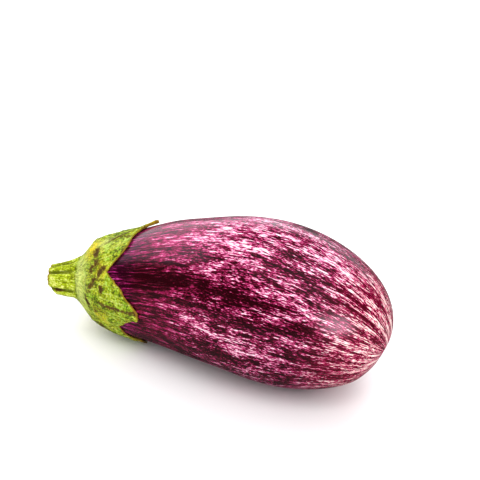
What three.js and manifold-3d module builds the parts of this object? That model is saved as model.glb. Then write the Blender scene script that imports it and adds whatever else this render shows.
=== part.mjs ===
// A striped eggplant as picked, lying on its side: the fruit, and the calyx with its cut stem.
// Millimetres, +Z up. The fruit lies along +X, from the stem end to the blossom end. The origin
// is the centre of the small flat spot that the fruit rests on, so the surface under it is z = 0.
import * as THREE from "three";
import { mergeVertices } from "three/addons/utils/BufferGeometryUtils.js";
import Module from "manifold-3d";

// The fruit's line of centres is one cubic curve: its two ends, and the two points that bend it.
const CROWN = new THREE.Vector3(-91.2, -3.2, 26.3);
const CROWN_BEND = new THREE.Vector3(-36.8, 13.3, 27.6);
const BLOSSOM_BEND = new THREE.Vector3(17.7, -8.5, 53.3);
const BLOSSOM = new THREE.Vector3(72.2, -3.2, 28.5);

// The girth round that line, as radius = sin(t) * sum of GIRTH[k] * cos(k t), where t runs from
// 0 at the crown to 180 degrees at the blossom end. The first value alone is an ellipsoid's half
// width; the second makes the blossom half the fatter one, and the rest blunt the two ends.
const GIRTH = [43.9, -2.6, 7.35, 3.0, 1.75];
const NECK_FLAT_SHARE = 0.045;
const NECK_FLAT_END = 0.42;
const WAVINESS = 0.006;
// Places where the skin stands out a little, or lies in: angle and reach of the middle, the half
// width of each, and the height.
const SWELLS = [
  [66, 66, 40, 15, 1.3],
  [95, 40, 40, 11, -0.8],
  [228, 106, 28, 24, -1.3],
  [205, 189, 42, 12, 6],
];
const BLOSSOM_DIMPLE = 0.5;
const FRUIT_STEPS = 58;
const FRUIT_SIDES = 40;

// The calyx follows the skin. Angles are in degrees round the line of centres, with 0 on the +Y
// side, 90 on top and 180 on the -Y side. Reaches are millimetres along the skin from the crown.
// Each lobe lists where its keel leaves the collar, how far the keel bows sideways, its outline
// from the notch before it to its tip, and its outline from the tip to the next notch.
const LOBES = [
  {
    keel: 112,
    bow: 12,
    rise: [[58, 38], [62, 46], [66, 51.5], [71, 57]],
    fall: [[71, 57], [86, 51.6], [98, 49.3], [112, 49], [121, 46.5], [132, 41.5], [140, 37.8]],
  },
  {
    keel: 163,
    bow: 4,
    rise: [[140, 37.8], [150, 44.4], [157, 49.2], [165, 52.6], [172, 57.6], [179, 61.6]],
    fall: [[179, 61.6], [187, 60.2], [189, 55], [194, 49.5], [202, 43.2]],
  },
  {
    keel: 236,
    bow: 2,
    rise: [[202, 43.2], [211, 43.8], [223, 45.4], [231, 48.2], [237, 52.8]],
    fall: [[237, 52.8], [243, 48.4], [251, 46.2], [262, 43.2], [272, 37.2]],
  },
  {
    keel: 310,
    bow: -3,
    rise: [[272, 37.2], [283, 43.2], [294, 46.8], [306, 49.6], [314, 58.4]],
    fall: [[314, 58.4], [321, 51.3], [330, 47.5], [341, 43.6], [350, 37.6]],
  },
  {
    keel: 392,
    bow: 5,
    rise: [[350, 37.6], [359, 42.6], [370, 46.4], [382, 49.5], [390, 56.6]],
    fall: [[390, 56.6], [396, 50.8], [405, 46.6], [412, 43.1], [418, 38]],
  },
];
const COLLAR_REACH = 10;
const SKIN_GAP = 0.32;
const TIP_LIFT = 0.35;
const EDGE_THICKNESS = 0.7;
const LOBE_THICKNESS = 1.05;
const COLLAR_THICKNESS = 3.6;
const COLLAR_WIDTH = 7;
// The collar is fuller on its upper side.
const COLLAR_RISE = { angle: 100, spread: 55, reach: 20, length: 7, height: 1.3 };
const KEEL_HEIGHT = 0.6;
const KEEL_WIDTH = 0.17;
const SIDE_COLUMNS = 10;

// The stem leaves the crown along this direction. Its radius and its cut are measured from there.
const STEM_DIRECTION = new THREE.Vector3(-0.955, -0.282, -0.05).normalize();
const STEM_PROFILE = [[4.5, 9.9], [6, 9.6], [8, 9.4], [10.5, 9.2], [13.5, 8.7], [16, 8.2]];
const STEM_LENGTH = 19.2;
const STEM_END_RADIUS = 7.5;
const STEM_END_BEVEL = 0.35;
const PITH_RADIUS = 4.2;
const PITH_DEPTH = 0.7;
// Where the cut runs off the lower side: its middle angle, its half width and how far it cuts in.
const CHAMFER = { angle: 226, spread: 34, depth: 3.6 };
// Grooves down the stem between its ribs: angle, depth as a share of the radius.
const STEM_GROOVES = [
  [14, 0.1],
  [52, 0.13],
  [88, 0.15],
  [125, 0.16],
  [160, 0.05],
  [193, 0.15],
  [234, 0.12],
  [270, 0.14],
  [306, 0.1],
  [338, 0.13],
];
const GROOVE_WIDTH = 8;

const SKIN_COLOUR = 0x6d1238;
const CALYX_COLOUR = 0x8f9f33;

const wasm = await Module();
wasm.setup();

const centreLine = new THREE.CubicBezierCurve3(CROWN, CROWN_BEND, BLOSSOM_BEND, BLOSSOM);
centreLine.arcLengthDivisions = 1500;
const centreLength = centreLine.getLength();

const radians = THREE.MathUtils.degToRad;
const mix = THREE.MathUtils.lerp;

function girth(t) {
  return Math.sin(t) * GIRTH.reduce((sum, value, k) => sum + value * Math.cos(k * t), 0);
}

// Directions at station t: along the line of centres, to its +Y side, and up from it.
function sectionAt(t) {
  const share = (1 - Math.cos(t)) / 2;
  const centre = centreLine.getPointAt(share);
  const along = centreLine.getTangentAt(share);
  const side = new THREE.Vector3(0, 0, 1).cross(along).normalize();
  const up = along.clone().cross(side);
  return { share, centre, along, side, up };
}

function outward(section, angle) {
  return section.side
    .clone()
    .multiplyScalar(Math.cos(angle))
    .addScaledVector(section.up, Math.sin(angle));
}

// How much of a hump is left at a place beside its middle, from 1 down to 0.
function hump(off, halfWidth) {
  return Math.exp(-((off / halfWidth) ** 2));
}

function angleBetween(a, b) {
  const turn = (((a - b) % 360) + 540) % 360;
  return Math.abs(turn - 180);
}

// The neck is a little flat underneath, and the whole fruit is not quite round.
function radiusAt(t, angle, share) {
  const under = Math.max(0, -Math.sin(angle)) ** 4;
  const neck = 1 - THREE.MathUtils.smoothstep(share, NECK_FLAT_END / 2, NECK_FLAT_END);
  const waves = Math.sin(3 * angle + 2.2 * t) + 0.6 * Math.cos(5 * angle - 3 * t);
  const reach = reachAt(t);
  const degrees = THREE.MathUtils.radToDeg(angle);
  const swell = SWELLS.reduce((sum, [middle, at, spread, length, height]) => {
    return sum + height * hump(angleBetween(degrees, middle), spread) * hump(reach - at, length);
  }, 0);
  const round = girth(t) * (1 - NECK_FLAT_SHARE * under * neck + WAVINESS * waves * Math.sin(t));
  return round + swell * Math.sin(t);
}

// The point at a height above the skin, at station t and an angle round the fruit.
function skinPoint(t, angle, height = 0) {
  const section = sectionAt(t);
  const radial = outward(section, angle);
  const step = 1e-3;
  const widening = (girth(t + step) - girth(t - step)) / (2 * step);
  const normal = radial
    .clone()
    .multiplyScalar((centreLength * Math.sin(t)) / 2)
    .addScaledVector(section.along, -widening)
    .normalize();
  return section.centre
    .addScaledVector(radial, radiusAt(t, angle, section.share))
    .addScaledVector(normal, height);
}

// Distance along the skin from the crown to each station, to turn a reach into a station.
const REACH_STEPS = 2000;
const reachTable = [0];
for (let i = 1; i <= REACH_STEPS; i++) {
  const before = (Math.PI * (i - 1)) / REACH_STEPS;
  const after = (Math.PI * i) / REACH_STEPS;
  const forward = (centreLength * (Math.cos(before) - Math.cos(after))) / 2;
  reachTable.push(reachTable[i - 1] + Math.hypot(forward, girth(after) - girth(before)));
}

function stationAt(reach) {
  const i = Math.max(1, reachTable.findIndex((value) => value >= reach));
  const part = (reach - reachTable[i - 1]) / (reachTable[i] - reachTable[i - 1]);
  return (Math.PI * (i - 1 + part)) / REACH_STEPS;
}

function reachAt(t) {
  const place = (t / Math.PI) * REACH_STEPS;
  const i = Math.min(REACH_STEPS - 1, Math.floor(place));
  return mix(reachTable[i], reachTable[i + 1], place - i);
}

// A closed skin from rings of points that start at one pole and end at the other. It faces out
// where the rings run towards the stem, and so the fruit starts at its blossom end.
function closedSkin(firstPole, rings, lastPole) {
  const count = rings[0].length;
  const points = [firstPole, ...rings.flat(), lastPole];
  const last = points.length - 1;
  const at = (ring, i) => 1 + ring * count + (i % count);
  const faces = [];
  for (let i = 0; i < count; i++) {
    faces.push(0, at(0, i), at(0, i + 1));
    faces.push(last, at(rings.length - 1, i + 1), at(rings.length - 1, i));
    for (let ring = 0; ring + 1 < rings.length; ring++) {
      faces.push(at(ring, i), at(ring + 1, i), at(ring + 1, i + 1));
      faces.push(at(ring, i), at(ring + 1, i + 1), at(ring, i + 1));
    }
  }
  const geometry = new THREE.BufferGeometry().setFromPoints(points);
  geometry.setIndex(faces);
  return geometry;
}

function solidFrom(geometry) {
  const bare = geometry.clone();
  bare.deleteAttribute("normal");
  bare.deleteAttribute("uv");
  const merged = mergeVertices(bare, 1e-4);
  return new wasm.Manifold(
    new wasm.Mesh({
      numProp: 3,
      vertProperties: merged.attributes.position.array,
      triVerts: new Uint32Array(merged.index.array),
    }),
  );
}

function geometryFrom(solid) {
  const mesh = solid.getMesh();
  const geometry = new THREE.BufferGeometry();
  geometry.setAttribute("position", new THREE.BufferAttribute(mesh.vertProperties, mesh.numProp));
  geometry.setIndex(new THREE.BufferAttribute(mesh.triVerts, 1));
  geometry.computeVertexNormals();
  return geometry;
}

// The fruit, with the flat spot cut where its belly would reach below z = 0.
function fruitGeometry() {
  const rings = [];
  for (let i = FRUIT_STEPS - 1; i > 0; i--) {
    const t = (Math.PI * i) / FRUIT_STEPS;
    const ring = [];
    for (let j = 0; j < FRUIT_SIDES; j++) ring.push(skinPoint(t, (2 * Math.PI * j) / FRUIT_SIDES));
    rings.push(ring);
  }
  const blossomPole = skinPoint(Math.PI, 0, -BLOSSOM_DIMPLE);
  const whole = solidFrom(closedSkin(blossomPole, rings, skinPoint(0, 0)));
  const below = new THREE.BoxGeometry(300, 200, 50).translate(0, 0, -25);
  return geometryFrom(whole.subtract(solidFrom(below)));
}

// A smooth run through outline points, cut into equal lengths measured on the skin.
function outlineRun(points, count) {
  const onSkin = points.map(([angle, reach]) => {
    const across = radians(angle) * girth(stationAt(45));
    return new THREE.Vector3(across, reach, 0);
  });
  const curve = new THREE.CatmullRomCurve3(onSkin, false, "centripetal");
  return curve.getSpacedPoints(count).map((p) => ({
    angle: p.x / girth(stationAt(45)),
    reach: p.y,
  }));
}

// One column for each point of the calyx's edge. sideways is 0 on a keel and 1 in a notch.
function calyxColumns() {
  const columns = [];
  LOBES.forEach((lobe, k) => {
    const turn = k === LOBES.length - 1 ? 360 : 0;
    const before = LOBES[(k + LOBES.length - 1) % LOBES.length].keel - (k === 0 ? 360 : 0);
    const after = LOBES[(k + 1) % LOBES.length].keel + turn;
    const runs = [
      { points: lobe.rise, from: (before + lobe.keel) / 2, to: lobe.keel, notchFirst: true },
      { points: lobe.fall, from: lobe.keel, to: (lobe.keel + after) / 2, notchFirst: false },
    ];
    for (const run of runs) {
      const edge = outlineRun(run.points, SIDE_COLUMNS);
      for (let i = 0; i < SIDE_COLUMNS; i++) {
        const part = i / SIDE_COLUMNS;
        columns.push({
          root: radians(mix(run.from, run.to, part)),
          angle: edge[i].angle,
          reach: edge[i].reach,
          sideways: run.notchFirst ? 1 - part : part,
          bow: radians(lobe.bow),
        });
      }
    }
  });
  return columns;
}

// Where a column is at a share of its way from the collar to the calyx's edge.
function columnPlace(column, share) {
  const bowed = column.bow * (1 - column.sideways) * 4 * share * (1 - share);
  return {
    angle: mix(column.root, column.angle, share) + bowed,
    reach: mix(COLLAR_REACH, column.reach, share),
  };
}

function lobeLift(column, share) {
  return SKIN_GAP + TIP_LIFT * (1 - column.sideways) ** 2 * share ** 5;
}

function lobeThickness(column, share) {
  const { angle, reach } = columnPlace(column, share);
  const inside = (1 - share) * (column.reach - COLLAR_REACH);
  const flesh = (LOBE_THICKNESS - EDGE_THICKNESS) * (1 - Math.exp(-inside / 2.5));
  const collar = COLLAR_THICKNESS - LOBE_THICKNESS;
  const off = angleBetween(THREE.MathUtils.radToDeg(angle), COLLAR_RISE.angle);
  const beside = hump(off, COLLAR_RISE.spread) * hump(reach - COLLAR_RISE.reach, COLLAR_RISE.length);
  const rise = COLLAR_RISE.height * beside;
  const swell = collar * hump(reach - COLLAR_REACH, COLLAR_WIDTH) + rise;
  const keel = KEEL_HEIGHT * hump(column.sideways, KEEL_WIDTH);
  const keelRise = THREE.MathUtils.smoothstep(share, 0, 0.35) * (1 - 0.6 * share ** 4);
  return EDGE_THICKNESS + flesh + swell + keel * keelRise;
}

function stemFrame() {
  const crown = sectionAt(0);
  const side = crown.side.clone().addScaledVector(
    STEM_DIRECTION,
    -crown.side.dot(STEM_DIRECTION),
  );
  side.normalize();
  const up = side.clone().cross(STEM_DIRECTION).normalize();
  return { side, up };
}

function stemPoint(frame, angle, distance, radius) {
  const radial = outward(frame, angle);
  return CROWN.clone()
    .addScaledVector(STEM_DIRECTION, distance)
    .addScaledVector(radial, radius);
}

function grooveShare(angle) {
  const degrees = THREE.MathUtils.radToDeg(angle);
  return STEM_GROOVES.reduce((sum, [at, depth]) => {
    return sum + depth * hump(angleBetween(degrees, at), GROOVE_WIDTH);
  }, 0);
}

// How far the cut end is from the crown, on one side of the stem and at a share of its radius.
function cutDistance(angle, radiusShare) {
  const off = angleBetween(THREE.MathUtils.radToDeg(angle), CHAMFER.angle);
  return STEM_LENGTH - CHAMFER.depth * hump(off, CHAMFER.spread) * radiusShare ** 3;
}

function calyxStemGeometry() {
  const columns = calyxColumns();
  const frame = stemFrame();
  const rings = [];
  const underCrown = [3.5, 7];
  for (const reach of underCrown) {
    rings.push(columns.map((c) => skinPoint(stationAt(reach), c.root, SKIN_GAP)));
  }
  const underShares = [0, 0.08, 0.16, 0.25, 0.35, 0.47, 0.6, 0.75, 0.9, 1];
  const topShares = [1, 0.97, 0.91, 0.82, 0.7, 0.58, 0.46, 0.35, 0.25, 0.16, 0.08, 0];
  for (const share of underShares) {
    rings.push(
      columns.map((c) => {
        const { angle, reach } = columnPlace(c, share);
        return skinPoint(stationAt(reach), angle, lobeLift(c, share));
      }),
    );
  }
  for (const share of topShares) {
    rings.push(
      columns.map((c) => {
        const { angle, reach } = columnPlace(c, share);
        const height = lobeLift(c, share) + lobeThickness(c, share);
        return skinPoint(stationAt(reach), angle, height);
      }),
    );
  }
  for (const [distance, radius] of STEM_PROFILE) {
    const grooved = THREE.MathUtils.smoothstep(distance, 3, 7);
    rings.push(
      columns.map((c) => {
        const ribbed = radius * (1 - grooved * grooveShare(c.root));
        const end = cutDistance(c.root, 1) - 1;
        return stemPoint(frame, c.root, Math.min(distance, end), ribbed);
      }),
    );
  }
  const capRings = [
    [STEM_END_RADIUS, STEM_END_BEVEL],
    [STEM_END_RADIUS - STEM_END_BEVEL, 0],
    [PITH_RADIUS, PITH_DEPTH / 2],
  ];
  for (const [radius, back] of capRings) {
    rings.push(
      columns.map((c) => {
        const ribbed = radius * (1 - grooveShare(c.root) * (radius / STEM_END_RADIUS) ** 2);
        const distance = cutDistance(c.root, radius / STEM_END_RADIUS) - back;
        return stemPoint(frame, c.root, distance, ribbed);
      }),
    );
  }
  const underPole = skinPoint(0, 0, SKIN_GAP);
  const pith = CROWN.clone().addScaledVector(STEM_DIRECTION, STEM_LENGTH - PITH_DEPTH);
  const geometry = closedSkin(underPole, rings, pith);
  geometry.computeVertexNormals();
  return geometry;
}

const skin = new THREE.MeshStandardMaterial({
  color: SKIN_COLOUR,
  roughness: 0.28,
  metalness: 0,
});
const green = new THREE.MeshStandardMaterial({
  color: CALYX_COLOUR,
  roughness: 0.62,
  metalness: 0,
});

const fruit = new THREE.Mesh(fruitGeometry(), skin);
fruit.name = "fruit";

const calyxStem = new THREE.Mesh(calyxStemGeometry(), green);
calyxStem.name = "calyx_stem";

const group = new THREE.Group();
group.add(fruit, calyxStem);

export default group;
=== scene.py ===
import math

import bpy
import numpy as np
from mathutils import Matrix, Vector, noise


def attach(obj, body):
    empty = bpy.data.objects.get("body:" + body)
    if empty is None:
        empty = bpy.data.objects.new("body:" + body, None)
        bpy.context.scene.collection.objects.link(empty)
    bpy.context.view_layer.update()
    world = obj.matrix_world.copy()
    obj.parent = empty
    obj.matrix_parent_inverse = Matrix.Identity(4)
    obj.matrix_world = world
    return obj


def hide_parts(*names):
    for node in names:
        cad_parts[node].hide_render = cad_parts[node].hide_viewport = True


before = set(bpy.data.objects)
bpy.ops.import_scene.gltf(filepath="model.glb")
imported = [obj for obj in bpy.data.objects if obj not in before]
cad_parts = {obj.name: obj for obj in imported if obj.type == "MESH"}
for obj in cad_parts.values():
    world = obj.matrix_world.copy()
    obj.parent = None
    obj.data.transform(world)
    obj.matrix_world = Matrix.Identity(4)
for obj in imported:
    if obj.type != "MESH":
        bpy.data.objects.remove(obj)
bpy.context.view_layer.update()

METRES = 0.001

# The fruit's line of centres: one cubic curve, from the crown to the blossom end.
CROWN = np.array((-91.2, -3.2, 26.3))
CROWN_BEND = np.array((-36.8, 13.3, 27.6))
BLOSSOM_BEND = np.array((17.7, -8.5, 53.3))
BLOSSOM = np.array((72.2, -3.2, 28.5))

# Its girth: radius = sin(t) * sum of GIRTH[k] * cos(k t), with t from 0 at the crown to pi.
GIRTH = (43.9, -2.6, 7.35, 3.0, 1.75)
NECK_FLAT_SHARE = 0.045
NECK_FLAT_END = 0.42
WAVINESS = 0.006
# Places where the skin stands out a little, or lies in: angle and reach of the middle, the half
# width of each, and the height.
SWELLS = (
    (66, 66, 40, 15, 1.3),
    (95, 40, 40, 11, -0.8),
    (228, 106, 28, 24, -1.3),
    (205, 189, 42, 12, 6),
)
FRUIT_STEPS = 300
FRUIT_SIDES = 300
FLOOR_BLEND = 0.12
DIMPLE_DEPTH = 0.9
DIMPLE_REACH = 4.0
# Where the skin's colouring changes, as reaches from the crown, and how light each place is.
CROWN_REACHES = (34, 95)
BLOSSOM_REACHES = (118, 192)
POLE_REACHES = (174, 192)
CROWN_TONE = -0.08
BLOSSOM_TONE = -0.02
POLE_TONE = 0.2
TONE_AT_POLE = 0.13

# The calyx, as in the part: angles in degrees round the line of centres, reaches in
# millimetres along the skin from the crown.
LOBES = (
    {
        "keel": 112,
        "bow": 12,
        "rise": ((58, 38), (62, 46), (66, 51.5), (71, 57)),
        "fall": ((71, 57), (86, 51.6), (98, 49.3), (112, 49), (121, 46.5), (132, 41.5), (140, 37.8)),
    },
    {
        "keel": 163,
        "bow": 4,
        "rise": ((140, 37.8), (150, 44.4), (157, 49.2), (165, 52.6), (172, 57.6), (179, 61.6)),
        "fall": ((179, 61.6), (187, 60.2), (189, 55), (194, 49.5), (202, 43.2)),
    },
    {
        "keel": 236,
        "bow": 2,
        "rise": ((202, 43.2), (211, 43.8), (223, 45.4), (231, 48.2), (237, 52.8)),
        "fall": ((237, 52.8), (243, 48.4), (251, 46.2), (262, 43.2), (272, 37.2)),
    },
    {
        "keel": 310,
        "bow": -3,
        "rise": ((272, 37.2), (283, 43.2), (294, 46.8), (306, 49.6), (314, 58.4)),
        "fall": ((314, 58.4), (321, 51.3), (330, 47.5), (341, 43.6), (350, 37.6)),
    },
    {
        "keel": 392,
        "bow": 5,
        "rise": ((350, 37.6), (359, 42.6), (370, 46.4), (382, 49.5), (390, 56.6)),
        "fall": ((390, 56.6), (396, 50.8), (405, 46.6), (412, 43.1), (418, 38)),
    },
)
COLLAR_REACH = 10
SKIN_GAP = 0.32
TIP_LIFT = 0.35
EDGE_THICKNESS = 0.7
LOBE_THICKNESS = 1.05
COLLAR_THICKNESS = 3.6
COLLAR_WIDTH = 7
COLLAR_RISE_ANGLE = 100
COLLAR_RISE_SPREAD = 55
COLLAR_RISE_REACH = 20
COLLAR_RISE_LENGTH = 7
COLLAR_RISE_HEIGHT = 1.3
KEEL_HEIGHT = 0.6
KEEL_WIDTH = 0.17
SIDE_COLUMNS = 42
# The reach at which the lobes' outlines are laid out flat, and how ragged their edges are.
LOBE_REACH = 45
EDGE_RADIUS = 20
EDGE_REACH_SCALE = 30
RAGGED_REACH = 0.45
RAGGED_ANGLE = 0.012
EDGE_ROUNDING = 2.5
# Low relief: lumps as height, size and seed, then veins beside the keel, folds between the
# lobes, the knob on the upper tip, wrinkles and a ridge round the collar.
RELIEF_FADE = 1.5
LUMPS = ((0.42, 6.5, 1), (0.26, 2.6, 2), (0.12, 1.1, 6))
VEIN_PLACES = (0.3, 0.52, 0.74)
VEIN_WIDTH = 0.045
VEIN_HEIGHT = 0.24
FOLD_WIDTH = 0.16
FOLD_DEPTH = 0.75
KNOB_INSIDE = 0.9
KNOB_LENGTH = 1.1
KNOB_HEIGHT = 0.9
WRINKLE_REACH = 15
WRINKLE_LENGTH = 7
WRINKLE_HEIGHT = 0.5
RIDGE_REACH = 23
RIDGE_LENGTH = 1.8
RIDGE_WAVER = 2
RIDGE_HEIGHT = 0.6
# The rings of points that the calyx and the stem are made of. A point that is WELL_INSIDE
# has none of the colouring that lies along the edge.
WELL_INSIDE = 10
HIDDEN_REACHES = (2, 4, 6, 8)
UNDER_RINGS = 26
OVER_RINGS = 74
EDGE_CROWDING = 1.25
FOOT_STEPS = 4
STEM_RINGS = 46
CUT_RINGS = 18
# How the foot of the stem is rounded into the collar: rings before and after it, and
# passes. The creases of the foot fade over CREASED_RINGS.
FOOT_BEFORE = 16
FOOT_AFTER = 22
FOOT_SMOOTHING = 80
CREASED_RINGS = 9
# The foot stands out a little more on its upper side.
FLARE_ANGLE = 65
FLARE_SPREAD = 60
FLARE_HEIGHT = 1.4
FLARE_ON_COLLAR = 8
FLARE_ON_STEM = 18

STEM_DIRECTION = np.array((-0.955, -0.282, -0.05))
STEM_DIRECTION = STEM_DIRECTION / np.linalg.norm(STEM_DIRECTION)
STEM_PROFILE = ((4.5, 9.9), (6, 9.6), (8, 9.4), (10.5, 9.2), (13.5, 8.7), (16, 8.2))
STEM_LENGTH = 19.2
STEM_END_RADIUS = 7.5
RIM_BEVEL = 0.3
PITH_DEPTH = 0.7
CHAMFER_ANGLE = 226
CHAMFER_SPREAD = 34
CHAMFER_DEPTH = 3.6
STEM_GROOVES = (
    (14, 0.1),
    (52, 0.13),
    (88, 0.15),
    (125, 0.16),
    (160, 0.05),
    (193, 0.15),
    (234, 0.12),
    (270, 0.14),
    (306, 0.1),
    (338, 0.13),
)
GROOVE_WIDTH = 8
GROOVE_START = (3, 7)

# The camera: where it stands round the object, and the point that it looks at.
CENTRE = Vector((-9.5, -3.2, 27.4)) * METRES
VIEW_AZIMUTH = 26
VIEW_ELEVATION = 32
VIEW_DISTANCE = 0.662
AIM_RIGHT = 0.0058
AIM_UP = 0.0367
LENS = 100
SENSOR_WIDTH = 36

# The stage, in metres: a wide floor, which the skin mirrors darker than it is, and the lamps.
FLOOR_HALF = 6.0
FLOOR_COLOUR = (243, 242, 242)
FLOOR_REFLECTED = (96, 90, 92)
FLOOR_GLOW_START = 0.3
FLOOR_GLOW_FULL = 1.6
NEAR_LAMP = 1.2
FAR_LAMP = 1.5
WORLD_STRENGTH = 0.7


# Shapes


def cubic(u):
    u = np.asarray(u)[..., None]
    return (
        (1 - u) ** 3 * CROWN
        + 3 * (1 - u) ** 2 * u * CROWN_BEND
        + 3 * (1 - u) * u**2 * BLOSSOM_BEND
        + u**3 * BLOSSOM
    )


def cubic_direction(u):
    u = np.asarray(u)[..., None]
    run = (
        (1 - u) ** 2 * (CROWN_BEND - CROWN)
        + 2 * (1 - u) * u * (BLOSSOM_BEND - CROWN_BEND)
        + u**2 * (BLOSSOM - BLOSSOM_BEND)
    )
    return unit(run)


def unit(vectors):
    return vectors / np.linalg.norm(vectors, axis=-1, keepdims=True)


U_TABLE = np.linspace(0, 1, 4001)
LENGTH_TABLE = np.concatenate(
    ([0], np.cumsum(np.linalg.norm(np.diff(cubic(U_TABLE), axis=0), axis=1)))
)
CENTRE_LENGTH = LENGTH_TABLE[-1]


def smoothstep(x, low, high):
    share = np.clip((x - low) / (high - low), 0, 1)
    return share * share * (3 - 2 * share)


def mix(a, b, share):
    return a + (b - a) * share


def girth(t):
    return np.sin(t) * sum(value * np.cos(k * t) for k, value in enumerate(GIRTH))


def girth_slope(t):
    step = 1e-3
    return (girth(t + step) - girth(t - step)) / (2 * step)


def section(t):
    """Centre and the three directions of the cross-section at each station t."""
    share = (1 - np.cos(t)) / 2
    u = np.interp(share * CENTRE_LENGTH, LENGTH_TABLE, U_TABLE)
    along = cubic_direction(u)
    side = unit(np.cross(np.array((0.0, 0.0, 1.0)), along))
    return share, cubic(u), along, side, np.cross(along, side)


def hump(off, half_width):
    return np.exp(-((off / half_width) ** 2))


def angle_between(a, b):
    """Degrees between two directions round the fruit, 0 to 180."""
    return np.abs((a - b + 540) % 360 - 180)


T_TABLE = np.linspace(0, math.pi, 4001)
REACH_TABLE = np.concatenate(
    (
        [0],
        np.cumsum(
            np.hypot(CENTRE_LENGTH * np.diff(-np.cos(T_TABLE)) / 2, np.diff(girth(T_TABLE)))
        ),
    )
)
WHOLE_REACH = REACH_TABLE[-1]


def station(reach):
    return np.interp(reach, REACH_TABLE, T_TABLE)


def reach_of(t):
    return np.interp(t, T_TABLE, REACH_TABLE)


def skin_points(t, angle, height=0.0):
    t, angle = np.broadcast_arrays(np.asarray(t, float), np.asarray(angle, float))
    share, centre, along, side, up = section(t)
    radial = np.cos(angle)[..., None] * side + np.sin(angle)[..., None] * up
    normal = unit(
        radial * (CENTRE_LENGTH * np.sin(t) / 2)[..., None] - along * girth_slope(t)[..., None]
    )
    under = np.maximum(0, -np.sin(angle)) ** 4
    neck = 1 - smoothstep(share, NECK_FLAT_END / 2, NECK_FLAT_END)
    waves = np.sin(3 * angle + 2.2 * t) + 0.6 * np.cos(5 * angle - 3 * t)
    radius = girth(t) * (1 - NECK_FLAT_SHARE * under * neck + WAVINESS * waves * np.sin(t))
    reach = reach_of(t)
    degrees = np.degrees(angle)
    for middle, at, spread, length, swell in SWELLS:
        beside = hump(angle_between(degrees, middle), spread) * hump(reach - at, length)
        radius = radius + swell * beside * np.sin(t)
    height = np.asarray(height, float)
    return centre + radial * radius[..., None] + normal * height[..., None]


def grid_mesh(name, first_pole, rings, last_pole, attributes, inside_out=False):
    """A closed skin from rings of points between two poles, with its vector attributes."""
    ring_count, count, _ = rings.shape
    points = np.concatenate(([first_pole], rings.reshape(-1, 3), [last_pole]))
    ring, i = np.meshgrid(np.arange(ring_count - 1), np.arange(count), indexing="ij")
    following = (i + 1) % count
    quads = np.stack(
        (
            1 + ring * count + i,
            1 + (ring + 1) * count + i,
            1 + (ring + 1) * count + following,
            1 + ring * count + following,
        ),
        axis=-1,
    ).reshape(-1, 4)
    i = np.arange(count)
    following = (i + 1) % count
    first = np.stack((np.zeros_like(i), 1 + i, 1 + following), axis=-1)
    base = 1 + (ring_count - 1) * count
    last = np.stack((np.full_like(i, len(points) - 1), base + following, base + i), axis=-1)
    faces = [tuple(f) for part in (first, quads, last) for f in part.tolist()]
    if inside_out:
        faces = [f[::-1] for f in faces]
    mesh = bpy.data.meshes.new(name)
    mesh.from_pydata((points * METRES).tolist(), [], faces)
    for key, (at_first, values, at_last) in attributes.items():
        data = np.concatenate(([at_first], values.reshape(-1, 3), [at_last]))
        layer = mesh.attributes.new(key, "FLOAT_VECTOR", "POINT")
        layer.data.foreach_set("vector", data.astype(np.float32).ravel())
    mesh.polygons.foreach_set("use_smooth", [True] * len(mesh.polygons))
    mesh.update()
    piece = bpy.data.objects.new(name, mesh)
    bpy.context.scene.collection.objects.link(piece)
    return piece


def rough(points, size, seed):
    """Smooth random heights between about -1 and 1 at the points, size millimetres apart."""
    flat = np.asarray(points).reshape(-1, 3) / size + np.array((seed * 7.3, seed * 3.1, seed))
    heights = [noise.noise(Vector(p)) for p in flat.tolist()]
    return np.array(heights).reshape(np.shape(points)[:-1])


def marked(marks, degrees, reach):
    """The sum of soft marks: angle, reach, half width in degrees, half length, amount."""
    amounts = np.zeros(np.broadcast_shapes(np.shape(degrees), np.shape(reach)))
    for at, along, spread, length, amount in marks:
        amounts += amount * hump(angle_between(degrees, at), spread) * hump(reach - along, length)
    return amounts


# How light the skin's streaks are by place, lighter above 0.
SKIN_MARKS = (
    # the dark band from the notch to the middle
    (138, 50, 10, 14, -0.20),
    (142, 72, 8, 16, -0.22),
    (146, 92, 8, 16, -0.24),
    (151, 112, 6, 14, -0.22),
    (154, 130, 4, 12, -0.14),
    (158, 66, 8, 22, -0.10),
    # short dark lines and patches
    (163, 146, 2.5, 16, -0.24),
    (177, 153, 6, 7, -0.16),
    (128, 150, 8, 12, -0.15),
    (122, 141, 2.5, 10, -0.16),
    (97, 136, 2.5, 12, -0.20),
    (97, 178, 4, 6, -0.20),
    (116, 164, 3, 10, -0.20),
    (125, 178, 4, 9, -0.16),
    (140, 188, 4, 6, -0.12),
    (150, 168, 4, 8, -0.10),
    (142, 174, 9, 6, -0.14),
    # painted shade: a broad darkening along the lower flank
    (196, 85, 20, 45, -0.08),
    (190, 172, 16, 18, -0.15),
    (172, 140, 8, 14, -0.05),
    (200, 125, 12, 34, -0.10),
    (152, 100, 7, 24, -0.05),
    (160, 112, 6, 26, -0.08),
    # the light belts and patches
    (168, 84, 3, 14, 0.10),
    (178, 112, 5, 24, 0.17),
    (141, 124, 5, 16, 0.08),
    (174, 165, 4, 6, 0.26),
    (121, 154, 3, 4, 0.26),
    (112, 140, 4, 18, 0.10),
    (98, 158, 5, 22, 0.13),
    (102, 150, 16, 30, 0.10),
    (86, 160, 8, 30, 0.08),
    (113, 178, 11, 7, 0.22),
    (110, 100, 14, 34, 0.16),
    (86, 74, 16, 26, 0.07),
    (106, 66, 5, 22, 0.10),
    (148, 164, 12, 12, -0.05),
    (150, 182, 5, 8, 0.20),
    (139, 42, 5, 5, 0.16),
    (165, 178, 5, 8, 0.16),
    (178, 185, 12, 9, 0.10),
)


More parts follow.
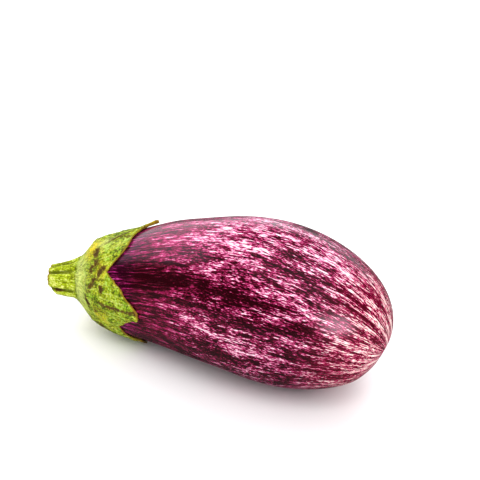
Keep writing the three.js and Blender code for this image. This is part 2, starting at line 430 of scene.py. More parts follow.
def make_fruit():
    t = np.linspace(0, math.pi, FRUIT_STEPS + 1)[1:-1][:, None]
    angle = np.linspace(0, 2 * math.pi, FRUIT_SIDES, endpoint=False)[None, :]
    reach = np.broadcast_to(reach_of(t), (FRUIT_STEPS - 1, FRUIT_SIDES))
    to_end = WHOLE_REACH - reach
    rings = skin_points(t, angle, -DIMPLE_DEPTH * hump(to_end, DIMPLE_REACH))
    z = rings[..., 2]
    rings[..., 2] = (z + np.sqrt(z * z + FLOOR_BLEND**2)) / 2
    degrees = np.degrees(angle)
    skin = np.stack(
        (np.cos(angle) + 0 * reach, np.sin(angle) + 0 * reach, reach),
        axis=-1,
    )
    blossom = smoothstep(reach, *BLOSSOM_REACHES)
    crown = 1 - smoothstep(reach, *CROWN_REACHES)
    pole = smoothstep(reach, *POLE_REACHES)
    lightness = marked(SKIN_MARKS, degrees, reach) + CROWN_TONE * crown + BLOSSOM_TONE * blossom
    lightness = lightness + POLE_TONE * pole
    tone = np.stack((lightness, blossom, crown), axis=-1)
    return grid_mesh(
        "eggplant_fruit",
        skin_points(0.0, 0.0),
        rings,
        skin_points(math.pi, 0.0, -DIMPLE_DEPTH),
        {
            "skin": ((1, 0, 0), skin, (1, 0, WHOLE_REACH)),
            "tone": ((0, 0, 1), tone, (TONE_AT_POLE, 1, 0)),
        },
        inside_out=True,
    )


def catmull_rom(points, count):
    """A smooth run through the points, as count + 1 points at equal steps of length."""
    points = np.asarray(points, float)
    before = 2 * points[0] - points[1]
    after = 2 * points[-1] - points[-2]
    knots = np.concatenate(([before], points, [after]))
    fine = []
    for k in range(len(points) - 1):
        p0, p1, p2, p3 = knots[k : k + 4]
        d01 = np.linalg.norm(p1 - p0) ** 0.5
        d12 = np.linalg.norm(p2 - p1) ** 0.5
        d23 = np.linalg.norm(p3 - p2) ** 0.5
        m1 = (p1 - p0) / d01 - (p2 - p0) / (d01 + d12) + (p2 - p1) / d12
        m2 = (p2 - p1) / d12 - (p3 - p1) / (d12 + d23) + (p3 - p2) / d23
        s = np.linspace(0, 1, 40, endpoint=False)[:, None]
        fine.append(
            (2 * s**3 - 3 * s**2 + 1) * p1
            + (s**3 - 2 * s**2 + s) * m1 * d12
            + (3 * s**2 - 2 * s**3) * p2
            + (s**3 - s**2) * m2 * d12
        )
    fine = np.concatenate((*fine, [points[-1]]))
    lengths = np.concatenate(([0], np.cumsum(np.linalg.norm(np.diff(fine, axis=0), axis=1))))
    at = np.linspace(0, lengths[-1], count + 1)
    return np.stack([np.interp(at, lengths, fine[:, k]) for k in range(2)], axis=-1)


def calyx_columns():
    """For each column round the calyx: its root angle, edge angle, edge reach, signed place
    across its lobe, bow and lobe number."""
    across = girth(station(LOBE_REACH))
    rows = []
    count = len(LOBES)
    for k, lobe in enumerate(LOBES):
        before = LOBES[k - 1]["keel"] - (360 if k == 0 else 0)
        after = LOBES[(k + 1) % count]["keel"] + (360 if k == count - 1 else 0)
        runs = (
            (lobe["rise"], (before + lobe["keel"]) / 2, lobe["keel"], True),
            (lobe["fall"], lobe["keel"], (lobe["keel"] + after) / 2, False),
        )
        for points, start, end, notch_first in runs:
            on_skin = [(math.radians(angle) * across, reach) for angle, reach in points]
            edge = catmull_rom(on_skin, SIDE_COLUMNS)
            for i in range(SIDE_COLUMNS):
                part = i / SIDE_COLUMNS
                sideways = part - 1 if notch_first else part
                root = math.radians(mix(start, end, part))
                bow = math.radians(lobe["bow"])
                rows.append((root, edge[i, 0] / across, edge[i, 1], sideways, bow, k))
    return np.array(rows)


def groove_share(angle):
    degrees = np.degrees(angle)
    return sum(depth * hump(angle_between(degrees, at), GROOVE_WIDTH) for at, depth in STEM_GROOVES)


def cut_distance(angle, radius_share):
    off = angle_between(np.degrees(angle), CHAMFER_ANGLE)
    return STEM_LENGTH - CHAMFER_DEPTH * hump(off, CHAMFER_SPREAD) * radius_share**3


# Brown, yellow and pale marks on the calyx, by angle and reach.
BROWN_MARKS = (
    (136, 35, 5, 2.2, 0.8),
    (141, 32, 5, 2.2, 0.9),
    (150, 28.5, 6, 2.2, 0.7),
    (158, 25.5, 6, 2.2, 0.6),
    (136, 25.5, 7, 1.5, 0.8),
    (129, 30, 5, 2.6, 0.6),
    (115, 28, 10, 2.8, 0.8),
    (159, 34.5, 5, 2.2, 1.1),
    (177, 23, 9, 2.0, 1.1),
    (187, 29, 6, 4.0, 0.5),
    (178, 40, 4, 5.0, 0.4),
    (217, 28, 7, 5.0, 0.8),
    (98, 44, 4, 7.0, 0.5),
    (86, 53, 4, 5.0, 0.5),
    (237, 53, 5, 4.0, 1.4),
    (300, 22, 9, 3.0, 0.8),
    (330, 30, 6, 3.5, 0.8),
    (20, 24, 9, 3.0, 0.8),
    (60, 30, 6, 3.5, 0.8),
    (192, -13.5, 9, 2.8, 1.2),
    (60, -12, 6, 2.0, 0.7),
    (320, -9, 8, 2.0, 0.7),
)
YELLOW_MARKS = (
    (105, 23.5, 13, 4.4, 1.2),
    (72, 56, 8, 5.0, 1.2),
    (138, 34, 9, 5.0, 0.7),
    (181, 62, 5, 3.0, 0.6),
    (237, 50, 6, 5.0, 0.9),
    (196, 32, 14, 5.0, 0.4),
    (312, 25, 8, 3.0, 0.7),
)
PALE_MARKS = (
    (101, 31, 8, 4.0, 0.9),
    (150, 14, 80, 7.5, 1.05),
    (330, 14, 80, 7.0, 0.7),
    (108, 40, 7, 8.0, 0.3),
)


def round_foot(rings, first, last):
    """Evens out the rings between two of them, so that the stem's foot runs into the collar."""
    for _ in range(FOOT_SMOOTHING):
        inner = rings[first + 1 : last]
        around = (rings[first : last - 1] + rings[first + 2 : last + 1]) / 2
        rings[first + 1 : last] = inner + 0.5 * (around - inner)


def make_calyx_stem():
    root, edge_angle, edge_reach, signed, bow, lobe = calyx_columns().T
    sideways = np.abs(signed)
    on_circle = (np.cos(edge_angle), np.sin(edge_angle), edge_reach / EDGE_REACH_SCALE)
    along_edge = EDGE_RADIUS * np.stack(on_circle, axis=-1)
    ragged = rough(along_edge, 2.4, 3) + 0.5 * rough(along_edge, 1.0, 4)
    edge_reach = edge_reach + RAGGED_REACH * ragged * (0.4 + 0.6 * sideways)
    edge_angle = edge_angle + RAGGED_ANGLE * rough(along_edge, 2.2, 5)
    rings = []
    marks = []
    stains = []
    fibres = []

    def in_every_column(value):
        return value + 0 * root

    def place(share):
        """Angle and reach of a ring: share 0 is at the collar, and 1 at the edge."""
        angle = mix(root, edge_angle, share) + bow * (1 - sideways) * 4 * share * (1 - share)
        return angle, mix(COLLAR_REACH, edge_reach, share)

    def from_edge(share):
        return (1 - share) * (edge_reach - COLLAR_REACH)

    def lift(share):
        return SKIN_GAP + TIP_LIFT * (1 - sideways) ** 2 * share**5

    def thickness(share):
        angle, reach = place(share)
        flesh = (LOBE_THICKNESS - EDGE_THICKNESS) * (1 - np.exp(-from_edge(share) / EDGE_ROUNDING))
        off = angle_between(np.degrees(angle), COLLAR_RISE_ANGLE)
        beside = hump(off, COLLAR_RISE_SPREAD) * hump(reach - COLLAR_RISE_REACH, COLLAR_RISE_LENGTH)
        collar = (COLLAR_THICKNESS - LOBE_THICKNESS) * hump(reach - COLLAR_REACH, COLLAR_WIDTH)
        keel_rise = smoothstep(share, 0, 0.35) * (1 - 0.6 * share**4)
        keel = KEEL_HEIGHT * hump(sideways, KEEL_WIDTH) * keel_rise
        return EDGE_THICKNESS + flesh + collar + COLLAR_RISE_HEIGHT * beside + keel

    def relief(points, share):
        """Lumps, side veins, the folds between lobes and the low ridges of the collar."""
        _, reach = place(share)
        inside = from_edge(share)
        free = 1 - np.exp(-inside / RELIEF_FADE)
        lumps = sum(height * rough(points, size, seed) for height, size, seed in LUMPS)
        veins = sum(hump(sideways - at, VEIN_WIDTH) for at in VEIN_PLACES)
        veins = VEIN_HEIGHT * veins * smoothstep(share, 0.1, 0.4) * (1 - share**2)
        fold = -FOLD_DEPTH * hump(1 - sideways, FOLD_WIDTH) * smoothstep(share, 0.15, 0.6)
        knob = KNOB_HEIGHT * hump(inside - KNOB_INSIDE, KNOB_LENGTH) * (lobe == 0)
        knob = knob * (1 - sideways) ** 4
        strokes = rough(np.stack((np.cos(root) * 11, np.sin(root) * 11, reach / 5), axis=-1), 1, 7)
        wrinkle = WRINKLE_HEIGHT * strokes * hump(reach - WRINKLE_REACH, WRINKLE_LENGTH)
        ridge_place = reach - RIDGE_REACH - RIDGE_WAVER * rough(points, 8, 8)
        ridge = RIDGE_HEIGHT * hump(ridge_place, RIDGE_LENGTH)
        lumps = (lumps + veins + fold) * free + knob
        return lumps + wrinkle + ridge * smoothstep(share, 0, 0.2)

    def mark(angle, along, inside):
        """Keeps what the material needs of a ring: its place, its stains and its fibres' lines."""
        degrees = np.degrees(angle)
        along = in_every_column(along)
        groups = (BROWN_MARKS, YELLOW_MARKS, PALE_MARKS)
        marks.append(np.stack((signed, along, in_every_column(inside)), axis=-1))
        fibres.append(np.stack((np.cos(root), np.sin(root), along), axis=-1))
        stains.append(np.stack([marked(group, degrees, along) for group in groups], axis=-1))

    # under the collar, out along the underside to the edge, and back over the top
    for reach in HIDDEN_REACHES:
        rings.append(skin_points(station(reach), root, in_every_column(SKIN_GAP)))
        mark(root, reach, WELL_INSIDE)
    for share in np.linspace(0, 1, UNDER_RINGS):
        angle, reach = place(share)
        rings.append(skin_points(station(reach), angle, lift(share)))
        mark(angle, reach, (1 - share) * edge_reach)
    for share in 1 - np.linspace(0, 1, OVER_RINGS) ** EDGE_CROWDING:
        angle, reach = place(share)
        height = lift(share) + thickness(share)
        flat = skin_points(station(reach), angle, height)
        rings.append(skin_points(station(reach), angle, height + relief(flat, share)))
        mark(angle, reach, from_edge(share))
    collar_end = len(rings)

    side = section(np.array(0.0))[3]
    side = unit(side - STEM_DIRECTION * side.dot(STEM_DIRECTION))
    up = unit(np.cross(side, STEM_DIRECTION))
    radial = np.cos(root)[:, None] * side + np.sin(root)[:, None] * up
    grooves = groove_share(root)

    def stem_ring(distance, radius):
        return CROWN + STEM_DIRECTION * in_every_column(distance)[:, None] + radial * radius[:, None]

    # from the collar to the foot of the stem, along it, and in over its cut end
    distances, radii = np.array((*STEM_PROFILE, (STEM_LENGTH, STEM_END_RADIUS))).T
    collar_ring = rings[-1]
    foot_ring = stem_ring(distances[0], radii[0] * (1 - 0.2 * grooves))
    for step in range(1, FOOT_STEPS + 1):
        share = step / (FOOT_STEPS + 1)
        rings.append(mix(collar_ring, foot_ring, share))
        mark(root, mix(COLLAR_REACH, -distances[0], share), 0.1 * grooves)
    foot = len(rings)
    rim = cut_distance(root, 1) - RIM_BEVEL
    for distance in np.linspace(distances[0], STEM_LENGTH, STEM_RINGS)[:-1]:
        grooved = smoothstep(distance, *GROOVE_START)
        ribbed = np.interp(distance, distances, radii) * (1 - grooved * grooves)
        at = np.minimum(distance, rim)
        fibre = (np.cos(root) * 9, np.sin(root) * 9, in_every_column(distance / 5))
        uneven = 0.16 * rough(np.stack(fibre, axis=-1), 1.0, 11)
        uneven = uneven + 0.1 * rough(stem_ring(at, ribbed), 1.6, 12)
        rings.append(stem_ring(at, ribbed + uneven))
        mark(root, -distance, grooves * grooved)
    stem_end = len(rings)
    for share in np.linspace(1, 0.05, CUT_RINGS):
        radius = STEM_END_RADIUS * share - 0.25 * hump(1 - share, 0.03)
        ribbed = radius * (1 - grooves * share**2)
        distance = cut_distance(root, share) - PITH_DEPTH * smoothstep(1 - share, 0.3, 0.7)
        flat = stem_ring(distance, ribbed)
        rings.append(stem_ring(distance + 0.2 * rough(flat, 0.9, 13), ribbed))
        mark(root, -STEM_LENGTH - 1, (1 - share) * STEM_END_RADIUS)
    pith = CROWN + STEM_DIRECTION * (STEM_LENGTH - PITH_DEPTH)

    rings = np.array(rings)
    first = collar_end - FOOT_BEFORE
    round_foot(rings, first, collar_end + FOOT_AFTER)
    above = hump(angle_between(np.degrees(root), FLARE_ANGLE), FLARE_SPREAD)
    for k in range(first, stem_end):
        away = unit(rings[k] - CROWN - STEM_DIRECTION * 2)
        creased = 0.5 * rough(fibres[k] * (8, 8, 0.1), 1.0, 15) - 5 * grooves
        creased = (creased + 0.2 * rough(rings[k], 1.4, 16)) * hump(k - collar_end, CREASED_RINGS)
        length = FLARE_ON_COLLAR if k < foot else FLARE_ON_STEM
        flare = FLARE_HEIGHT * above * hump(k - foot, length)
        rings[k] = rings[k] + away * (creased + flare)[:, None]
    return grid_mesh(
        "eggplant_calyx_stem",
        skin_points(0.0, 0.0, SKIN_GAP),
        rings,
        pith,
        {
            "calyx": ((0, 0, WELL_INSIDE), np.array(marks), (0, -STEM_LENGTH, -STEM_END_RADIUS)),
            "stain": ((0, 0, 0), np.array(stains), (0, 0, 0)),
            "fibre": ((1, 0, 0), np.array(fibres), (1, 0, -STEM_LENGTH)),
        },
    )


# Materials


def linear(colour):
    """A colour of 0 to 255 per channel as the shader takes it."""
    values = [c / 255 for c in colour]
    return (*[c / 12.92 if c <= 0.04045 else ((c + 0.055) / 1.055) ** 2.4 for c in values], 1)


def wire(tree, socket, value):
    if isinstance(value, bpy.types.NodeSocket):
        tree.links.new(value, socket)
    else:
        socket.default_value = value


def add(tree, kind, inputs, **settings):
    made = tree.nodes.new("ShaderNode" + kind)
    for key, value in settings.items():
        setattr(made, key, value)
    for key, value in inputs.items():
        wire(tree, made.inputs[key], value)
    return made


def calc(tree, operation, *values):
    made = tree.nodes.new("ShaderNodeMath")
    made.operation = operation
    for socket, value in zip(made.inputs, values):
        wire(tree, socket, value)
    return made.outputs[0]


def chained(tree, operation, values):
    result = values[0]
    for value in values[1:]:
        result = calc(tree, operation, result, value)
    return result


def total(tree, *values):
    return chained(tree, "ADD", values)


def product(tree, *values):
    return chained(tree, "MULTIPLY", values)


def attribute(tree, name):
    """The vector of a mesh attribute, and its three numbers."""
    vector = add(tree, "Attribute", {}, attribute_name=name).outputs["Vector"]
    split = add(tree, "SeparateXYZ", {0: vector})
    return vector, split.outputs[0], split.outputs[1], split.outputs[2]


def stretched(tree, vector, scale):
    return add(tree, "VectorMath", {0: vector, 1: scale}, operation="MULTIPLY").outputs[0]


def clouds(tree, vector, scale, detail, roughness=0.55, distortion=0.0):
    inputs = {
        "Vector": vector,
        "Scale": scale,
        "Detail": detail,
        "Roughness": roughness,
        "Distortion": distortion,
    }
    return add(tree, "TexNoise", inputs).outputs["Fac"]


def swing(tree, value, amount):
    """Noise of mean 0.5 turned into a swing about 0."""
    return calc(tree, "MULTIPLY", calc(tree, "SUBTRACT", value, 0.5), amount)


def ramp_to(tree, value, low, high, to_low=0.0, to_high=1.0):
    inputs = {0: value, 1: low, 2: high, 3: to_low, 4: to_high}
    return add(tree, "MapRange", inputs, interpolation_type="SMOOTHSTEP").outputs[0]


def colour_ramp(tree, value, stops):
    made = add(tree, "ValToRGB", {0: value})
    elements = made.color_ramp.elements
    while len(elements) > 1:
        elements.remove(elements[-1])
    for k, (at, colour) in enumerate(stops):
        element = elements[0] if k == 0 else elements.new(at)
        element.position = at
        element.color = linear(colour)
    return made.outputs[0]


def blend(tree, share, first, second, mode="MIX"):
    made = tree.nodes.new("ShaderNodeMix")
    made.data_type = "RGBA"
    made.blend_type = mode
    wire(tree, made.inputs[0], share)
    for socket, value in ((made.inputs[6], first), (made.inputs[7], second)):
        wire(tree, socket, value if isinstance(value, bpy.types.NodeSocket) else linear(value))
    return made.outputs[2]


def bare_material(name):
    material = bpy.data.materials.new(name)
    material.use_nodes = True
    tree = material.node_tree
    return material, tree, tree.nodes["Principled BSDF"]


SKIN_TONE = 0.258
BODY_COLOURS = (
    (0.0, (38, 0, 6)),
    (0.16, (64, 2, 18)),
    (0.28, (98, 8, 38)),
    (0.4, (142, 14, 68)),
    (0.52, (186, 42, 108)),
    (0.64, (214, 92, 146)),
    (0.77, (236, 172, 202)),
    (0.92, (250, 224, 232)),
)
BLOSSOM_END_COLOURS = (
    (0.0, (72, 0, 18)),
    (0.2, (108, 0, 36)),
    (0.34, (150, 4, 56)),
    (0.48, (198, 46, 100)),
    (0.61, (230, 112, 148)),
    (0.74, (250, 214, 212)),
    (0.88, (254, 240, 228)),
)
SCAR_COLOUR = (214, 184, 128)
SCAR_RADIUS = 3.2
SCAR_CORE = 1.8
CALYX_TONE = 0.46
CALYX_COLOURS = (
    (0.08, (62, 76, 0)),
    (0.26, (102, 120, 2)),
    (0.44, (142, 160, 8)),
    (0.62, (164, 186, 34)),
    (0.84, (190, 208, 92)),
)
# The stem's greens; the palest of them is partly a painted highlight on the ribs, which the pale
# streaks reach.
STEM_COLOURS_AND_HIGHLIGHT = (
    (0.15, (118, 124, 2)),
    (0.4, (160, 180, 0)),
    (0.6, (192, 212, 8)),
    (0.85, (236, 240, 132)),
)
CUT_COLOURS = (
    (0.2, (150, 128, 60)),
    (0.5, (196, 182, 110)),
    (0.8, (224, 214, 158)),
)
KEEL_LINE_COLOUR = (208, 216, 120)
PALE_COLOUR = (222, 234, 126)
RIPE_COLOUR = (228, 204, 30)
# painted shade for the grooves between the stem's ribs
GROOVE_SHADE_COLOUR = (84, 92, 6)
KEEL_BROWN = (84, 50, 14)
EDGE_BROWN = (148, 112, 22)
RIM_BROWN = (150, 112, 34)
BLOT_BROWN = (96, 66, 18)
CORE_BROWN = (66, 40, 14)


def skin_material():
    material, tree, shader = bare_material("eggplant_skin")
    skin, _, _, reach = attribute(tree, "skin")
    _, lightness, blossom, crown = attribute(tree, "tone")

    # the streaks waver a little about the lines that run from end to end
    low = stretched(tree, skin, (2.2, 2.2, 0.045))
    wobble = add(tree, "TexNoise", {"Vector": low, "Scale": 1.0, "Detail": 2.0}).outputs["Color"]
    middle = add(tree, "VectorMath", {0: wobble, 1: (0.5, 0.5, 0.5)}, operation="SUBTRACT")
    shift = stretched(tree, middle.outputs[0], (0.07, 0.07, 3.0))
    lines = add(tree, "VectorMath", {0: skin, 1: shift}, operation="ADD").outputs[0]

    def streaks(vector, around, length, roughness=0.55, distortion=0.0, detail=2.0):
        """Noise drawn out along the fruit: its scale round it, and its length in millimetres."""
        drawn_out = stretched(tree, vector, (around, around, 1 / length))
        return clouds(tree, drawn_out, 1.0, detail, roughness, distortion)

    belts = streaks(lines, 6.5, 26, roughness=0.5)
    clumps = streaks(lines, 15.0, 10, distortion=0.2)
    hairs = streaks(lines, 46.0, 24, roughness=0.6)
    threads = streaks(lines, 52.0, 6, roughness=0.65, distortion=0.2)
    flecks = streaks(lines, 84.0, 1.7, roughness=0.6, distortion=0.2)
    rays = streaks(skin, 12.0, 30, roughness=0.5, detail=1.0)
    fine_rays = streaks(skin, 40.0, 26, roughness=0.6)
    grain = streaks(skin, 14.0, 2)
    ripple = streaks(skin, 22.0, 9)
    fading = calc(tree, "SUBTRACT", 1.0, ramp_to(tree, reach, 184, 202))
    # calm long lines near the calyx, and ragged dapple towards the blossom end
    dapple = ramp_to(tree, reach, 60, 130)

    def grown(value, near_calyx, near_blossom):
        amount = add(tree, "Mix", {0: dapple, 2: near_calyx, 3: near_blossom}).outputs[0]
        return swing(tree, value, amount)

    tone = total(
        tree,
        SKIN_TONE,
        lightness,
        grown(belts, 0.6, 1.4),
        grown(clumps, 0.5, 1.1),
        grown(hairs, 1.6, 0.5),
        product(tree, grown(threads, 1.1, 2.15), fading),
        product(tree, grown(flecks, 0.6, 2.6), fading),
        product(tree, swing(tree, rays, 0.8), blossom),
        product(tree, swing(tree, fine_rays, 1.9), blossom),
    )
    body = colour_ramp(tree, tone, BODY_COLOURS)
    end = colour_ramp(tree, tone, BLOSSOM_END_COLOURS)
    mixed = blend(tree, ramp_to(tree, blossom, 0.35, 0.95), body, end)
    near_calyx = ramp_to(tree, crown, 0.5, 1.0)
    bluer = {"Hue": 0.468, "Saturation": 1.0, "Value": 0.95, "Fac": near_calyx, "Color": mixed}
    violet = add(tree, "HueSaturation", bluer).outputs[0]
    scar_reach = total(tree, reach, swing(tree, grain, 5.0))
    scar = ramp_to(tree, scar_reach, WHOLE_REACH - SCAR_RADIUS, WHOLE_REACH - SCAR_CORE)
    colour = blend(tree, scar, violet, SCAR_COLOUR)
    wire(tree, shader.inputs["Base Color"], colour)
    wire(tree, shader.inputs["Roughness"], ramp_to(tree, clumps, 0.3, 0.7, 0.22, 0.28))
    shader.inputs["Specular IOR Level"].default_value = 0.42
    shader.inputs["Specular Tint"].default_value = (1.0, 0.78, 0.94, 1)
    bump = add(tree, "Bump", {"Strength": 0.35, "Distance": 0.00008, "Height": ripple})
    wire(tree, shader.inputs["Normal"], bump.outputs[0])
    return material


def calyx_material():
    material, tree, shader = bare_material("eggplant_calyx")
    calyx, signed, along, inside = attribute(tree, "calyx")
    _, brown, yellow, pale = attribute(tree, "stain")
    fibre_place, _, _, _ = attribute(tree, "fibre")
    sideways = calc(tree, "ABSOLUTE", signed)
    place = add(tree, "TexCoord", {}).outputs["Object"]

    mottle = clouds(tree, place, 240.0, 4.0, 0.62, 0.3)
    broad = clouds(tree, place, 75.0, 2.0)
    pits = clouds(tree, place, 900.0, 1.5, 0.5)
    specks = clouds(tree, place, 560.0, 3.0, 0.7, 0.4)
    hue_places = clouds(tree, place, 330.0, 3.0, 0.65)
    rows = clouds(tree, stretched(tree, calyx, (20.0, 0.7, 0.0)), 1.0, 1.5, 0.5)
    fibres = clouds(tree, stretched(tree, fibre_place, (16.0, 16.0, 0.14)), 1.0, 3.0, 0.6, 0.1)
    strokes = clouds(tree, stretched(tree, fibre_place, (26.0, 26.0, 0.3)), 1.0, 2.0, 0.6, 0.2)
    cell_inputs = {"Vector": place, "Scale": 620.0, "Randomness": 1.0}
    cells = add(tree, "TexVoronoi", cell_inputs, feature="DISTANCE_TO_EDGE").outputs["Distance"]
    net = ramp_to(tree, total(tree, cells, swing(tree, mottle, 0.25)), 0.11, 0.0)
    tone = total(
        tree,
        CALYX_TONE,
        swing(tree, mottle, 0.85),
        swing(tree, broad, 0.4),
        swing(tree, pits, 1.3),
        swing(tree, rows, 1.0),
        swing(tree, fibres, 1.1),
        product(tree, net, -0.14),
        product(tree, pale, swing(tree, strokes, 0.8)),
    )
    green = colour_ramp(tree, tone, CALYX_COLOURS)
    hue = total(tree, 0.502, swing(tree, hue_places, 0.2))
    green = add(tree, "HueSaturation", {"Hue": hue, "Color": green}).outputs[0]

    # thin pale lines beside the keel, and the pale and the ripe yellow places
    wavy = total(tree, sideways, swing(tree, broad, 0.12))
    comb = calc(tree, "PINGPONG", wavy, 0.1)
    broken = ramp_to(tree, mottle, 0.42, 0.58)
    line = product(tree, ramp_to(tree, comb, 0.024, 0.0), broken, ramp_to(tree, along, 22, 32))
    faded = product(tree, pale, ramp_to(tree, strokes, 0.36, 0.62, 0.3, 1.0))
    uneven = total(tree, mottle, specks)
    ripe = product(tree, yellow, ramp_to(tree, uneven, 0.8, 1.15, 0.2, 1.2))
    lobes = blend(tree, product(tree, line, 0.5), green, KEEL_LINE_COLOUR)
    lobes = blend(tree, faded, lobes, PALE_COLOUR)
    lobes = blend(tree, ripe, lobes, RIPE_COLOUR)

    # the stem is yellower, and painted shade darkens the grooves between its ribs
    on_stem = ramp_to(tree, total(tree, along, swing(tree, strokes, 20.0)), 10, -10)
    # pale streaks along the stem, partly a painted highlight on its ribs
    stem_tone_and_highlight = total(tree, tone, swing(tree, strokes, 1.3), 0.05)
    groove_shade = product(
        tree,
        on_stem,
        ramp_to(tree, inside, 0.03, 0.13, 0.0, 0.8),
        ramp_to(tree, along, 2, -5),
        ramp_to(tree, along, -19.5, -19.0),
    )
    stem = blend(tree, groove_shade, colour_ramp(tree, stem_tone_and_highlight, STEM_COLOURS_AND_HIGHLIGHT), GROOVE_SHADE_COLOUR)

    # brown along the keels, the edges and the rim of the cut, in the placed marks and in specks
    keel = ramp_to(tree, total(tree, sideways, swing(tree, mottle, 0.12)), 0.07, 0.03)
    keel = product(tree, keel, ramp_to(tree, along, 26, 38), ramp_to(tree, pits, 0.34, 0.5))
    edge = ramp_to(tree, total(tree, inside, swing(tree, mottle, 2.6)), 0.75, 0.25)
    edge = product(tree, edge, ramp_to(tree, along, 14, 24))
    rim = ramp_to(tree, total(tree, along, swing(tree, mottle, 2.0)), -17.6, -18.8)
    placed = product(tree, brown, 1.35)
    stain = total(tree, placed, swing(tree, mottle, 1.4), swing(tree, specks, 2.6), -0.1)
    browns = (
        (keel, 0.95, KEEL_BROWN),
        (edge, 0.85, EDGE_BROWN),
        (rim, 0.7, RIM_BROWN),
        (ramp_to(tree, stain, 0.36, 0.62), 0.85, BLOT_BROWN),
        (ramp_to(tree, stain, 0.66, 1.0), 0.75, CORE_BROWN),
    )
    colour = blend(tree, on_stem, lobes, stem)
    for share, strength, brown_colour in browns:
        colour = blend(tree, product(tree, share, strength), colour, brown_colour)
    cut = ramp_to(tree, along, -19.5, -20.0)
    colour = blend(tree, cut, colour, colour_ramp(tree, tone, CUT_COLOURS))

    wire(tree, shader.inputs["Base Color"], colour)
    wire(tree, shader.inputs["Roughness"], ramp_to(tree, mottle, 0.3, 0.7, 0.56, 0.7))
    shader.inputs["Specular IOR Level"].default_value = 0.16
    height = total(
        tree,
        product(tree, pits, 0.6),
        mottle,
        fibres,
        product(tree, strokes, 0.8),
        product(tree, net, -0.3),
    )
    bump = add(tree, "Bump", {"Strength": 0.9, "Distance": 0.0007, "Height": height})
    wire(tree, shader.inputs["Normal"], bump.outputs[0])
    return material


def floor_material():
    """A white table, which shows darker in reflections than it is and stays pale far away."""
    material, tree, shader = bare_material("floor")
    shader.inputs["Base Color"].default_value = linear(FLOOR_COLOUR)
    shader.inputs["Roughness"].default_value = 0.85
    shader.inputs["Specular IOR Level"].default_value = 0.2
    shader.inputs["Emission Color"].default_value = (1, 1, 1, 1)
    place = add(tree, "TexCoord", {}).outputs["Object"]
    away = add(tree, "VectorMath", {0: place}, operation="LENGTH").outputs["Value"]
    path = add(tree, "LightPath", {})
    glow = ramp_to(tree, away, FLOOR_GLOW_START, FLOOR_GLOW_FULL, 0.01, 0.5)
    glow = product(tree, glow, path.outputs["Is Camera Ray"])
    wire(tree, shader.inputs["Emission Strength"], glow)
    dim = add(tree, "BsdfDiffuse", {"Color": linear(FLOOR_REFLECTED)})
    reflected = path.outputs["Is Glossy Ray"]
    both = add(tree, "MixShader", {0: reflected, 1: shader.outputs[0], 2: dim.outputs[0]})
    tree.links.new(both.outputs[0], tree.nodes["Material Output"].inputs["Surface"])
    return material


fruit = make_fruit()
fruit.data.materials.append(skin_material())
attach(fruit, "root")
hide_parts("fruit")

calyx = make_calyx_stem()
calyx.data.materials.append(calyx_material())
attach(calyx, "root")
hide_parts("calyx_stem")


# Stage


def make_floor():
    mesh = bpy.data.meshes.new("floor")
    near, far = -FLOOR_HALF, FLOOR_HALF
    corners = [(near, near, 0), (far, near, 0), (far, far, 0), (near, far, 0)]
    mesh.from_pydata(corners, [], [(0, 1, 2, 3)])
    floor = bpy.data.objects.new("floor", mesh)
    bpy.context.scene.collection.objects.link(floor)
    floor.data.materials.append(floor_material())


def direction(azimuth, elevation):
    """The direction from the object: azimuth 0 is -Y, 90 is +X."""
    a, e = math.radians(azimuth), math.radians(elevation)
    return Vector((math.sin(a) * math.cos(e), -math.cos(a) * math.cos(e), math.sin(e)))


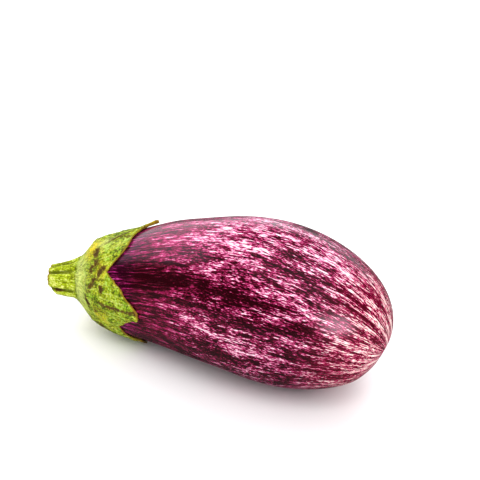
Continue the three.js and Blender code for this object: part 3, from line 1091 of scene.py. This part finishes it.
def softbox(
    name,
    azimuth,
    elevation,
    size,
    radiance,
    colour=(1, 1, 1),
    distance=NEAR_LAMP,
    mirrored=True,
    lighting=True,
):
    """A soft lamp that faces the object; the skin may mirror it, be lit by it, or both."""
    width, height = size
    light = bpy.data.lights.new(name, "AREA")
    light.shape = "RECTANGLE"
    light.size = width
    light.size_y = height
    light.color = colour
    light.energy = radiance * width * height * math.pi
    lamp = bpy.data.objects.new(name, light)
    back = direction(azimuth, elevation)
    lamp.location = CENTRE + back * distance
    lamp.rotation_mode = "QUATERNION"
    lamp.rotation_quaternion = (-back).to_track_quat("-Z", "Y")
    lamp.visible_camera = False
    lamp.visible_glossy = mirrored
    lamp.visible_diffuse = lighting
    bpy.context.scene.collection.objects.link(lamp)


def make_lamps():
    # low strips behind the fruit, which the upper edge of the skin mirrors
    softbox("back_left", -133, 11, (1.3, 0.4), 1.7, (0.97, 0.9, 1))
    softbox("back_veil", -106, 32, (1.0, 0.5), 1.6, (1, 0.82, 0.98))
    softbox("back_right", 178, 17, (1.1, 0.46), 1.5, (0.98, 0.94, 1))
    # the highlight near the blossom end, which lights nothing else
    softbox("front_right", 51, 22, (0.64, 0.46), 11.0, (1, 0.93, 0.95), lighting=False)
    softbox("top", 0, 90, (1.7, 1.7), 0.45, distance=FAR_LAMP)
    # lamps that light the object and cast its soft shadow, and aren't mirrored
    softbox("front_high", 40, 52, (1.1, 0.9), 4.6, distance=FAR_LAMP, mirrored=False)
    softbox("fill_left", -62, 46, (1.2, 1.0), 0.7, distance=FAR_LAMP, mirrored=False)
    softbox("key", -170, 55, (1.3, 1.1), 2.35, distance=FAR_LAMP, mirrored=False)


def make_camera():
    back = direction(VIEW_AZIMUTH, VIEW_ELEVATION)
    right = Vector((math.cos(math.radians(VIEW_AZIMUTH)), math.sin(math.radians(VIEW_AZIMUTH)), 0))
    up = back.cross(right)
    data = bpy.data.cameras.new("camera")
    data.lens = LENS
    data.sensor_width = SENSOR_WIDTH
    camera = bpy.data.objects.new("camera", data)
    camera.location = CENTRE + back * VIEW_DISTANCE
    aim = CENTRE + right * AIM_RIGHT + up * AIM_UP
    camera.rotation_mode = "QUATERNION"
    camera.rotation_quaternion = (aim - camera.location).to_track_quat("-Z", "Y")
    bpy.context.scene.collection.objects.link(camera)
    bpy.context.scene.camera = camera


def make_world():
    world = bpy.data.worlds.new("studio")
    bpy.context.scene.world = world
    world.use_nodes = True
    background = world.node_tree.nodes["Background"]
    background.inputs["Color"].default_value = (1, 1, 1, 1)
    background.inputs["Strength"].default_value = WORLD_STRENGTH
    world.cycles_visibility.glossy = False


make_floor()
make_lamps()
make_camera()
make_world()
bpy.context.scene.view_settings.view_transform = "Standard"
